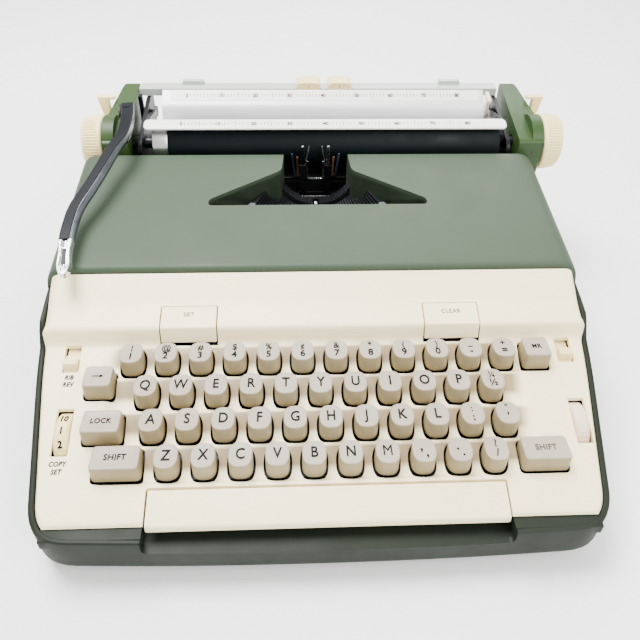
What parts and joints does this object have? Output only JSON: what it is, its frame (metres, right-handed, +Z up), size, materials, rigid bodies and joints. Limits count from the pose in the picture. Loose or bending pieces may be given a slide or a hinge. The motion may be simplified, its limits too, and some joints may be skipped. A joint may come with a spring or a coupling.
{
  "type": "portable electric typewriter",
  "caption": "Portable electric typewriter with a sliding carriage, a four-row keyboard, a V-shaped type opening and a long carriage return lever.",
  "frame": {"origin": "on the table under the middle of the resting carriage, at the middle of the whole object's footprint", "axes": "+X to the typist's right, along the platen; +Y away from the typist; +Z up"},
  "size_m": [0.345, 0.3361, 0.1288],
  "materials": {
    "case_green": "satin grey-green paint",
    "cover_sage": "satin sage paint",
    "end_green": "satin moulded plastic",
    "panel_cream": "fine satin moulded plastic",
    "key_grey": "satin moulded plastic",
    "ivory_plastic": "aged satin plastic",
    "frame_steel": "zinc-plated sheet steel",
    "bright_steel": "ground and polished steel",
    "dark_steel": "black-finished steel",
    "black_rubber": "matte",
    "black_plastic": "matte",
    "platen_rubber": "ground rubber, slight sheen",
    "lever_black": "gloss enamel over chromed edges",
    "bail_white": "gloss white enamel with printed scale",
    "table_silver": "satin anodised"
  },
  "bodies": {
    "machine": {"base_case": "case_green", "keyboard_panel": "panel_cream", "ribbon_cover": "cover_sage", "chassis": "frame_steel", "foot_front_left": "black_rubber", "foot_front_right": "black_rubber", "foot_rear_left": "black_rubber", "foot_rear_right": "black_rubber", "carriage_rail": "frame_steel", "key_shaft": "bright_steel", "motor": "dark_steel", "drive_belt": "black_rubber", "power_inlet": "black_plastic", "ribbon_guide": "dark_steel"},
    "key_column_1qaz": {"key_column_1qaz": "key_grey"},
    "key_column_2wsx": {"key_column_2wsx": "key_grey"},
    "key_column_3edc": {"key_column_3edc": "key_grey"},
    "key_column_4rfv": {"key_column_4rfv": "key_grey"},
    "key_column_5tgb": {"key_column_5tgb": "key_grey"},
    "key_column_6yhn": {"key_column_6yhn": "key_grey"},
    "key_column_7ujm": {"key_column_7ujm": "key_grey"},
    "key_column_8ik": {"key_column_8ik": "key_grey"},
    "key_column_9ol": {"key_column_9ol": "key_grey"},
    "key_column_0p": {"key_column_0p": "key_grey"},
    "key_column_signs": {"key_column_signs": "key_grey"},
    "tab_key": {"tab_key": "key_grey"},
    "lock_key": {"lock_key": "key_grey"},
    "shift_key_left": {"shift_key_left": "key_grey"},
    "shift_key_right": {"shift_key_right": "key_grey"},
    "margin_release_key": {"margin_release_key": "key_grey"},
    "space_bar": {"space_bar": "panel_cream"},
    "tab_set_key": {"tab_set_key": "panel_cream"},
    "tab_clear_key": {"tab_clear_key": "panel_cream"},
    "type_basket": {"type_segment": "dark_steel", "type_bars": "bright_steel"},
    "typing_bar": {"typing_bar": "bright_steel"},
    "ribbon_spool_left": {"ribbon_spool_left": "dark_steel"},
    "ribbon_spool_right": {"ribbon_spool_right": "dark_steel"},
    "power_roller": {"power_roller": "black_rubber"},
    "mainspring_drum": {"mainspring_drum": "bright_steel"},
    "power_switch": {"power_switch": "ivory_plastic"},
    "ribbon_switch": {"ribbon_switch": "ivory_plastic"},
    "copy_set_wheel": {"copy_set_wheel": "ivory_plastic"},
    "touch_wheel": {"touch_wheel": "ivory_plastic"},
    "carriage": {"carriage_frame": "frame_steel", "end_cover_left": "end_green", "end_cover_right": "end_green", "paper_table": "table_silver", "margin_rail": "bright_steel"},
    "platen": {"platen": "platen_rubber", "knob_left": "ivory_plastic", "knob_right": "ivory_plastic"},
    "return_lever": {"return_lever": "lever_black"},
    "paper_bail": {"paper_bail": "bail_white"},
    "margin_stop_left": {"margin_stop_left": "ivory_plastic"},
    "margin_stop_right": {"margin_stop_right": "ivory_plastic"},
    "carriage_release_left": {"carriage_release_left": "ivory_plastic"},
    "carriage_release_right": {"carriage_release_right": "ivory_plastic"},
    "paper_release_lever": {"paper_release_lever": "ivory_plastic"},
    "line_space_lever": {"line_space_lever": "lever_black"}
  },
  "joints": [
    {"name": "key_press_1qaz", "type": "hinge", "parent": "machine", "child": "key_column_1qaz", "pos_m": [-0.10595, 0.078, 0.044], "axis": [1, 0, 0], "range_deg": [0, 1.1], "stiffness_Nm_per_rad": 2, "springref_deg": -2.86},
    {"name": "key_press_2wsx", "type": "hinge", "parent": "machine", "child": "key_column_2wsx", "pos_m": [-0.0869, 0.078, 0.044], "axis": [1, 0, 0], "range_deg": [0, 1.1], "stiffness_Nm_per_rad": 2, "springref_deg": -2.86},
    {"name": "key_press_3edc", "type": "hinge", "parent": "machine", "child": "key_column_3edc", "pos_m": [-0.06785, 0.078, 0.044], "axis": [1, 0, 0], "range_deg": [0, 1.1], "stiffness_Nm_per_rad": 2, "springref_deg": -2.86},
    {"name": "key_press_4rfv", "type": "hinge", "parent": "machine", "child": "key_column_4rfv", "pos_m": [-0.0488, 0.078, 0.044], "axis": [1, 0, 0], "range_deg": [0, 1.1], "stiffness_Nm_per_rad": 2, "springref_deg": -2.86},
    {"name": "key_press_5tgb", "type": "hinge", "parent": "machine", "child": "key_column_5tgb", "pos_m": [-0.02975, 0.078, 0.044], "axis": [1, 0, 0], "range_deg": [0, 1.1], "stiffness_Nm_per_rad": 2, "springref_deg": -2.86},
    {"name": "key_press_6yhn", "type": "hinge", "parent": "machine", "child": "key_column_6yhn", "pos_m": [-0.0107, 0.078, 0.044], "axis": [1, 0, 0], "range_deg": [0, 1.1], "stiffness_Nm_per_rad": 2, "springref_deg": -2.86},
    {"name": "key_press_7ujm", "type": "hinge", "parent": "machine", "child": "key_column_7ujm", "pos_m": [0.00835, 0.078, 0.044], "axis": [1, 0, 0], "range_deg": [0, 1.1], "stiffness_Nm_per_rad": 2, "springref_deg": -2.86},
    {"name": "key_press_8ik", "type": "hinge", "parent": "machine", "child": "key_column_8ik", "pos_m": [0.0274, 0.078, 0.044], "axis": [1, 0, 0], "range_deg": [0, 1.1], "stiffness_Nm_per_rad": 2, "springref_deg": -2.86},
    {"name": "key_press_9ol", "type": "hinge", "parent": "machine", "child": "key_column_9ol", "pos_m": [0.04645, 0.078, 0.044], "axis": [1, 0, 0], "range_deg": [0, 1.1], "stiffness_Nm_per_rad": 2, "springref_deg": -2.86},
    {"name": "key_press_0p", "type": "hinge", "parent": "machine", "child": "key_column_0p", "pos_m": [0.0655, 0.078, 0.044], "axis": [1, 0, 0], "range_deg": [0, 1.1], "stiffness_Nm_per_rad": 2, "springref_deg": -2.86},
    {"name": "key_press_signs", "type": "hinge", "parent": "machine", "child": "key_column_signs", "pos_m": [0.08455, 0.078, 0.044], "axis": [1, 0, 0], "range_deg": [0, 1.1], "stiffness_Nm_per_rad": 2, "springref_deg": -2.86},
    {"name": "tab_press", "type": "hinge", "parent": "machine", "child": "tab_key", "pos_m": [-0.13498, 0.078, 0.044], "axis": [1, 0, 0], "range_deg": [0, 1.1], "stiffness_Nm_per_rad": 2, "springref_deg": -2.86},
    {"name": "lock_press", "type": "hinge", "parent": "machine", "child": "lock_key", "pos_m": [-0.12898, 0.078, 0.044], "axis": [1, 0, 0], "range_deg": [0, 1.1], "stiffness_Nm_per_rad": 2, "springref_deg": -2.86},
    {"name": "shift_left_press", "type": "hinge", "parent": "machine", "child": "shift_key_left", "pos_m": [-0.12298, 0.078, 0.044], "axis": [1, 0, 0], "range_deg": [0, 1.12], "stiffness_Nm_per_rad": 2, "springref_deg": -2.86},
    {"name": "shift_right_press", "type": "hinge", "parent": "machine", "child": "shift_key_right", "pos_m": [0.10128, 0.078, 0.044], "axis": [1, 0, 0], "range_deg": [0, 1.12], "stiffness_Nm_per_rad": 2, "springref_deg": -2.86},
    {"name": "margin_release_press", "type": "hinge", "parent": "machine", "child": "margin_release_key", "pos_m": [0.11328, 0.078, 0.044], "axis": [1, 0, 0], "range_deg": [0, 1.1], "stiffness_Nm_per_rad": 2, "springref_deg": -2.86},
    {"name": "space_bar_press", "type": "hinge", "parent": "machine", "child": "space_bar", "pos_m": [-0.0107, 0.078, 0.044], "axis": [1, 0, 0], "range_deg": [0, 1.1], "stiffness_Nm_per_rad": 3, "springref_deg": -3.44},
    {"name": "tab_set_press", "type": "hinge", "parent": "machine", "child": "tab_set_key", "pos_m": [-0.085, -0.0415, 0.0772], "axis": [1, 0, 0], "range_deg": [0, 6], "stiffness_Nm_per_rad": 0.05, "springref_deg": -11.46},
    {"name": "tab_clear_press", "type": "hinge", "parent": "machine", "child": "tab_clear_key", "pos_m": [0.0665, -0.0415, 0.0772], "axis": [1, 0, 0], "range_deg": [0, 6], "stiffness_Nm_per_rad": 0.05, "springref_deg": -11.46},
    {"name": "type_basket_drop", "type": "slide", "parent": "machine", "child": "type_basket", "axis": [0, 0, -1], "range_m": [0, 0.0065], "stiffness_N_per_m": 400, "springref_m": -0.02},
    {"name": "type_bar_swing", "type": "hinge", "parent": "type_basket", "child": "typing_bar", "pos_m": [-0.0075, 0.08, 0.06976], "axis": [-1, 0, 0], "range_deg": [0, 148.5]},
    {"name": "ribbon_spool_left_turn", "type": "hinge", "parent": "machine", "child": "ribbon_spool_left", "pos_m": [-0.106, 0.055, 0.0865], "axis": [0, 0, 1], "continuous": true},
    {"name": "ribbon_spool_right_turn", "type": "hinge", "parent": "machine", "child": "ribbon_spool_right", "pos_m": [0.084, 0.055, 0.0865], "axis": [0, 0, 1], "continuous": true},
    {"name": "power_roller_turn", "type": "hinge", "parent": "machine", "child": "power_roller", "pos_m": [-0.011, 0.098, 0.024], "axis": [1, 0, 0], "continuous": true},
    {"name": "mainspring_drum_turn", "type": "hinge", "parent": "machine", "child": "mainspring_drum", "pos_m": [-0.116, 0.14, 0.042], "axis": [0, 1, 0], "range_deg": [-360, 270]},
    {"name": "power_switch_slide", "type": "slide", "parent": "machine", "child": "power_switch", "axis": [0, 0.9557, 0.2945], "range_m": [0, 0.004]},
    {"name": "ribbon_switch_slide", "type": "slide", "parent": "machine", "child": "ribbon_switch", "axis": [0, 0.9557, 0.2945], "range_m": [0, 0.004]},
    {"name": "copy_set_wheel_turn", "type": "hinge", "parent": "machine", "child": "copy_set_wheel", "pos_m": [-0.1485, -0.10371, 0.03722], "axis": [1, 0, 0], "range_deg": [-40, 40]},
    {"name": "touch_wheel_turn", "type": "hinge", "parent": "machine", "child": "touch_wheel", "pos_m": [0.1313, -0.10329, 0.03763], "axis": [1, 0, 0], "range_deg": [-40, 40]},
    {"name": "carriage_slide", "type": "slide", "parent": "machine", "child": "carriage", "axis": [1, 0, 0], "range_m": [-0.123, 0.092]},
    {"name": "platen_turn", "type": "hinge", "parent": "carriage", "child": "platen", "pos_m": [0, 0.116, 0.10026], "axis": [1, 0, 0], "continuous": true},
    {"name": "return_lever_swing", "type": "hinge", "parent": "carriage", "child": "return_lever", "pos_m": [-0.141, 0.118, 0.12626], "axis": [0, 0, 1], "range_deg": [0, 35], "stiffness_Nm_per_rad": 0.2, "springref_deg": -11.46},
    {"name": "paper_bail_lift", "type": "hinge", "parent": "carriage", "child": "paper_bail", "pos_m": [0, 0.1515, 0.10776], "axis": [-1, 0, 0], "range_deg": [0, 35]},
    {"name": "margin_stop_left_slide", "type": "slide", "parent": "carriage", "child": "margin_stop_left", "axis": [1, 0, 0], "range_m": [-0.068, 0]},
    {"name": "margin_stop_right_slide", "type": "slide", "parent": "carriage", "child": "margin_stop_right", "axis": [1, 0, 0], "range_m": [0, 0.066]},
    {"name": "carriage_release_left_press", "type": "hinge", "parent": "carriage", "child": "carriage_release_left", "pos_m": [-0.144, 0.145, 0.10126], "axis": [0, -1, 0], "range_deg": [0, 5], "stiffness_Nm_per_rad": 0.1, "springref_deg": -11.46},
    {"name": "carriage_release_right_press", "type": "hinge", "parent": "carriage", "child": "carriage_release_right", "pos_m": [0.144, 0.145, 0.10126], "axis": [0, 1, 0], "range_deg": [0, 5], "stiffness_Nm_per_rad": 0.1, "springref_deg": -11.46},
    {"name": "paper_release_pull", "type": "hinge", "parent": "carriage", "child": "paper_release_lever", "pos_m": [0.1245, 0.146, 0.09626], "axis": [1, 0, 0], "range_deg": [0, 18]},
    {"name": "line_space_set", "type": "hinge", "parent": "carriage", "child": "line_space_lever", "pos_m": [-0.136, 0.1475, 0.10376], "axis": [1, 0, 0], "range_deg": [-10, 10]}
  ],
  "couplings": [
    {"joint": "shift_left_press", "follows": "type_basket_drop", "rad_per_m": 2.95},
    {"joint": "shift_right_press", "follows": "type_basket_drop", "rad_per_m": 2.95},
    {"joint": "type_bar_swing", "follows": "key_press_6yhn", "ratio": 134.5},
    {"joint": "ribbon_spool_right_turn", "follows": "ribbon_spool_left_turn", "ratio": 1},
    {"joint": "mainspring_drum_turn", "follows": "carriage_slide", "rad_per_m": 50}
  ]
}
